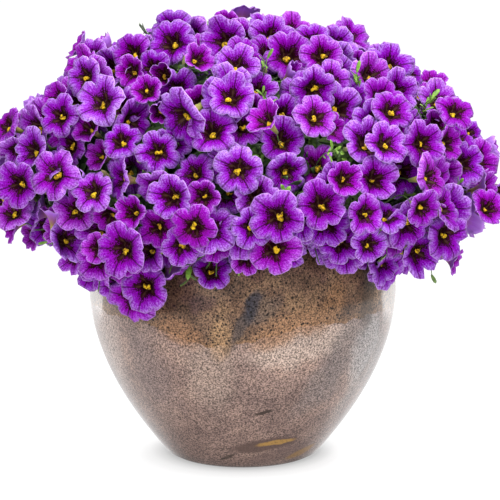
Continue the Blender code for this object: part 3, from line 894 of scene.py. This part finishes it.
for one in blooms:
    place, axis = one["place"], one["axis"]
    normal, home = moundNormal(place), homeOf(place)
    foot = one["matrix"] @ Vector((0, 0, bloom["tube"][0][1] * mm))
    joint = foot - (axis * 0.6 + normal * 0.4) * foliage["pedicel"]
    joint += levelOf(joint) * intoWall(joint)
    addTwig(home, joint, foot, foliage["twig"])
    addTwig(home, stemTips[home], joint, foliage["twig"] * 1.5)
    for k in range(5):
        out = outFrom(axis, k * tau / 5)
        direction = (axis + out * chance.uniform(*foliage["sepalSpread"])).normalized()
        if isClear(foot + direction * foliage["sepalLength"] * mm):
            addLeaf(home, foot, direction, out, foliage["sepalLength"], foliage["sepalWidth"],
                    chance.uniform(*foliage["sepalYouth"]))
    for k in range(foliage["perBloom"]):
        level = (k + chance.uniform()) / foliage["perBloom"]
        inwards = foliage["shallow"] + (foliage["deep"] - foliage["shallow"]) * level
        around = anyWayAlong(normal)
        spot = settle(place) - normal * inwards + around * foliage["stray"] * math.sqrt(chance.uniform())
        direction = around + normal * chance.uniform(-0.2, 0.6)
        while not isClear(spot, spot + direction.normalized() * 10 * mm):
            spot -= normal * 3 * mm
        face, larger = (normal + 0.5 * anyDirection()).normalized(), 1 + 0.3 * level
        # painted shade: the further in a leaf lies, the darker its green
        addLeaf(home, spot, direction, face, chance.uniform(*foliage["leafLength"]) * larger,
                chance.uniform(*foliage["leafWidth"]) * larger, chance.uniform(0, 0.5) * (1 - level))

# bigger leaves further in close the plant off, in the darkest green as painted shade
for one in blooms:
    for k in range(foliage["inner"]):
        place, normal = one["place"], moundNormal(one["place"])
        around = anyWayAlong(normal)
        inwards = chance.uniform(foliage["deep"], foliage["innerDepth"])
        addLeaf(homeOf(place), settle(place) - normal * inwards + around * foliage["innerStray"], around,
                (normal + 0.4 * anyDirection()).normalized(), chance.uniform(*foliage["innerLength"]),
                chance.uniform(*foliage["innerWidth"]), 0.0)

# side shoots: how far their leaves stand apart, how steeply they point, their lengths and widths in mm, their
# youth and painted shade, and the share that is dry
sprigs = {"count": 90, "gap": 18 * mm, "sink": 8 * mm, "sway": 0.35, "stalk": 20 * mm, "leaves": 6,
          "apart": 1.6 * mm, "steep": (0.3, 1.3), "length": (7, 13), "width": (2.2, 4.2), "youthAndPaintedShade": (0.5, 1),
          "dry": 0, "buds": 0.6}
tips = {"count": 34, "gap": 24 * mm, "sink": 2 * mm, "sway": 0.5, "stalk": 22 * mm, "leaves": 6,
        "apart": 2.2 * mm, "steep": (0.4, 2.4), "length": (4, 10), "width": (1.6, 3.2), "youthAndPaintedShade": (0.7, 1),
        "height": (-7, 0)}
hangers = {"count": 44, "out": (-2, 14), "down": (-6, 9), "stalk": 22 * mm, "leaves": 8, "apart": 1.8 * mm,
           "steep": (0.5, 1.4), "length": (7, 13), "width": (2.8, 5.0), "youthAndPaintedShade": (0.4, 1), "dry": 0.1}


def addLeaves(home, tip, along, look):  # leaves wind down a side shoot from its tip
    for k in range(look["leaves"]):
        out, start = outFrom(along, k * goldenAngle), tip - along * k * look["apart"]
        length = chance.uniform(*look["length"])
        direction = (along * chance.uniform(*look["steep"]) + out).normalized()
        if isClear(start + direction * length * mm):
            width, youthAndPaintedShade = chance.uniform(*look["width"]), chance.uniform(*look["youthAndPaintedShade"])
            dryness = look["dry"] and 0.6 * (chance.uniform() < look["dry"])
            addLeaf(home, start, direction, out if look is hangers else along, length, width, youthAndPaintedShade, dryness)


# sprigs of young leaves and buds come up where the blooms leave the widest gaps
for place in widestGaps(sprigs["count"], sprigs["gap"], sprigs["sink"]):
    home, along = homeOf(place), (moundNormal(place) + sprigs["sway"] * anyDirection()).normalized()
    tip = settle(place) - moundNormal(place) * sprigs["sink"]
    while not isClear(tip) and (tip - settle(place)).length < 20 * mm:
        tip -= along * 2 * mm
    addTwig(home, tip - along * sprigs["stalk"], tip, foliage["twig"] * 1.1)
    addLeaves(home, tip, along, sprigs)
    if chance.uniform() < sprigs["buds"]:
        addLeaf(home, tip, along, along.orthogonal(), 9, 3.6, 0.8, chance.uniform(0.2, 0.7))

# a few bright young tips grow out between the blooms
for place in widestGaps(tips["count"], tips["gap"], tips["sink"]):
    home, normal = homeOf(place), moundNormal(place)
    along = (normal + up * 0.5 + tips["sway"] * anyDirection()).normalized()
    tip = settle(place) + normal * chance.uniform(*tips["height"]) * mm
    addTwig(home, tip - along * tips["stalk"], tip, foliage["twig"])
    for k in range(tips["leaves"]):
        out = outFrom(along, k * goldenAngle)
        direction = (along * chance.uniform(*tips["steep"]) + out + 0.4 * anyDirection()).normalized()
        addLeaf(home, tip - along * k * tips["apart"], direction, along, chance.uniform(*tips["length"]),
                chance.uniform(*tips["width"]), chance.uniform(*tips["youthAndPaintedShade"]))

# shoots with star-shaped calyxes and drooping leaves hang out below the lowest blooms
level = (mound["middle"] - mound["skirt"]) / mound["drop"]
skirtRadius = mound["radius"] * math.sqrt(1 - level ** 2)
for k in range(hangers["count"]):
    turned = (k + chance.uniform()) / hangers["count"] * tau
    outwards = Vector((math.sin(turned), -math.cos(turned), 0))
    place = outwards * skirtRadius + up * mound["skirt"]
    shift = outwards * chance.uniform(*hangers["out"]) - up * chance.uniform(*hangers["down"])
    tip = settle(place) + shift * mm
    home, along = homeOf(place), (outwards * 0.5 - up).normalized()
    addTwig(home, tip - along * hangers["stalk"], tip, foliage["twig"])
    addLeaves(home, tip, along, hangers)


def cutsPot(shape, matrix):  # true for a leaf or twig that runs into the pot's wall
    end = (1, 0, 0) if shape in leafShapes else (0, 0, 1)
    return any(intoWall(matrix @ (Vector(end) * step / 8)) for step in range(9))


for shoot, stamps in zip(shootNames, growth):
    stamps = [one for one in stamps if not cutsPot(*one[:2])]
    addPiece(f"foliageCluster{shoot}", stampAll(stamps), [leafGreen], [f"leaves_{shoot}"])
print("leaves and sprigs placed:", sum(len(stamps) for stamps in growth))


def potOutline():
    lip = pot["wall"] / 2
    lipHeight = potHigh.z - lip
    middle = potRadius(lipHeight) - lip
    outside = [(potRadius(h), h) for h in np.linspace(pot["footEdge"], lipHeight - mm, 26)]
    arc = np.radians(np.linspace(10, 180, 9))
    rim = [(middle + lip * math.cos(a), lipHeight + lip * math.sin(a)) for a in arc]
    inside = [(potRadius(h) - pot["wall"], h)
              for h in np.linspace(lipHeight - 4 * mm, pot["floor"] + 6 * mm, 16)]
    floorAndFoot = [(potRadius(0) - 2 * pot["wall"], pot["floor"]), (pot["drain"], pot["floor"]),
                    (pot["drain"], pot["recess"]), (pot["footRing"] - pot["recess"], pot["recess"]),
                    (pot["footRing"], 0), (potRadius(0) - pot["footEdge"], 0)]
    return outside + rim + inside + floorAndFoot


bm = bmesh.new()
outline = [bm.verts.new((radius, 0, height)) for radius, height in potOutline()]
rail = [bm.edges.new(pair) for pair in zip(outline, outline[1:] + outline[:1])]
bmesh.ops.spin(bm, geom=outline + rail, axis=up, cent=(0, 0, 0), steps=pot["steps"], angle=tau,
               use_merge=True)
orderFaces(bm)
for face in bm.faces:
    face.smooth = True
glaze, soil, bark = glazeMaterial(), soilMaterial(), barkMaterial()
potPiece = addPiece("glazedPot", bm, [glaze], ["pot"])
potPiece.data.set_sharp_from_angle(angle=math.radians(40))
print("pot turned")

for name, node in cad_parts.items():
    for begin, finish in (("potting", soil), ("crown", bark), ("stem", stemGreen)):
        if name.startswith(begin):
            for slot in node.material_slots:
                slot.material = finish

studio = {"floor": 1.2, "soft": 0.50, "seen": 1.05, "mirrored": 3.4}
bm = bmesh.new()
bmesh.ops.create_circle(bm, cap_ends=True, segments=64, radius=studio["floor"])
floor = addObject("studioFloor", meshOf("studioFloor", bm))
floorFinish, add = newMaterial("whiteFloorMatt")
floor.data.materials.append(floorFinish)
place = add("TexCoord").outputs["Object"]
away = add("VectorMath", (place,), operation="LENGTH").outputs["Value"]
solid = add("MapRange", (away, 0.45, 1.15, 0.0, 1.0), interpolation_type="SMOOTHSTEP")
# white paper that glows evenly, dimmed near the foot as a painted contact shadow
glowAndPaintedShadow = add("MapRange", (away, potRadius(0), potRadius(0) + 0.045, 0.0, 1.0))
glowAndPaintedShadow = add("ValToRGB", (glowAndPaintedShadow,), stops=[(0.0, 0.48), (0.10, 0.62), (0.30, 0.80), (0.6, 0.92), (1.0, 0.96)])
# the glaze mirrors it brighter behind the pot than in front
heading = add("VectorMath", (place,), operation="NORMALIZE")
backwards = add("SeparateXYZ", (heading,)).outputs["Y"]
behind = add("MapRange", (backwards, -1.0))
far = add("MapRange", (away, 0.36, 0.50))
nearPart = add("ValToRGB", (behind,), stops=[(0.15, 0.06), (0.40, 0.22), (0.70, 0.27), (0.95, 0.22)])
farPart = add("ValToRGB", (behind,), stops=[
    (0.15, 0.06), (0.40, 0.28), (0.734, 0.28), (0.744, 0.92), (0.80, 0.78), (0.87, 0.46), (0.96, 0.28)])
mirrored = add("Mix", {0: far, 2: nearPart, 3: farPart})
mirrored = add("Math", (mirrored, studio["mirrored"]), operation="MULTIPLY")
ray = add("LightPath")
glowAndPaintedShadow = add("Mix", {0: ray.outputs["Is Glossy Ray"], 2: glowAndPaintedShadow, 3: mirrored})
paper = add("BsdfPrincipled", {"Base Color": srgb("#646464"), "Roughness": 0.8,
                               "Emission Color": srgb("#ffffff"), "Emission Strength": glowAndPaintedShadow})
# clear from below, so that the underside of the pot can be looked at
side = add("NewGeometry").outputs["Backfacing"]
hidden = add("Math", (solid, side), operation="MAXIMUM")
both = add("MixShader", (hidden, paper, add("BsdfTransparent")))
add("OutputMaterial", (both,))

world = bpy.data.worlds.new("whiteStudio")
bpy.context.scene.world = world
world.use_nodes = True
world.node_tree.nodes.clear()
add = partial(addNode, world.node_tree)
ray = add("LightPath").outputs
place = add("TexCoord").outputs["Generated"]
backwards = add("SeparateXYZ", (place,)).outputs["Y"]
# the white backdrop ends beside the pot, which gives the glaze its bright edges and a clear front
backdrop = add("ValToRGB", (backwards,), stops=[
    (0.20, 0.05), (0.45, 0.11), (0.59, 0.11), (0.61, 1.0), (0.80, 0.6), (0.95, 0.35)])
backdrop = add("Math", (backdrop, studio["mirrored"]), operation="MULTIPLY")
soft, mirrored, seen = [add("Background", (srgb("#ffffff"), strength))
                        for strength in (studio["soft"], backdrop, studio["seen"])]
both = add("MixShader", (ray["Is Glossy Ray"], soft, mirrored))
both = add("MixShader", (ray["Is Camera Ray"], both, seen))
add("OutputWorld", (both,))


def pointAt(thing, place, aim):
    thing.location = place
    thing.rotation_euler = (Vector(aim) - Vector(place)).to_track_quat("-Z", "Y").to_euler()


def addSoftbox(name, place, aim, width, height, watts, mirrored=True):
    light = bpy.data.lights.new(name, "AREA")
    light.shape = "RECTANGLE"
    light.size, light.size_y, light.energy = width, height, watts
    lamp = addObject(name, light)
    pointAt(lamp, place, aim)
    lamp.visible_glossy = mirrored


addSoftbox("overheadSoftbox", (0.30, -0.50, 1.30), (0, 0, 0.1), 1.0, 0.8, 19)
addSoftbox("frontSoftbox", (-0.6, -1.6, 0.7), (0, 0, 0.15), 0.7, 0.5, 12)
addSoftbox("backSoftbox", (0.3, 1.5, 1.0), (0, 0, 0.2), 0.9, 0.6, 16)
addSoftbox("fillSoftbox", (0.8, -1.5, 0.3), (0, 0, 0.2), 0.9, 0.7, 8, False)

view = {"distance": 1.5, "elevation": 11.5, "aimHeight": 0.100, "mmPerPixel": 0.72, "right": 7.2, "above": 63,
        "side": 500}
camera = addObject("camera", bpy.data.cameras.new("camera"))
bpy.context.scene.camera = camera
slope, pixel = math.radians(view["elevation"]), view["mmPerPixel"] * mm
eye = (0, -view["distance"] * math.cos(slope), view["aimHeight"] + view["distance"] * math.sin(slope))
pointAt(camera, eye, (view["right"] * pixel, 0, view["aimHeight"] + view["above"] * pixel / math.cos(slope)))
camera.data.lens = camera.data.sensor_width * view["distance"] / (view["side"] * pixel)
bpy.context.scene.view_settings.view_transform = "Standard"
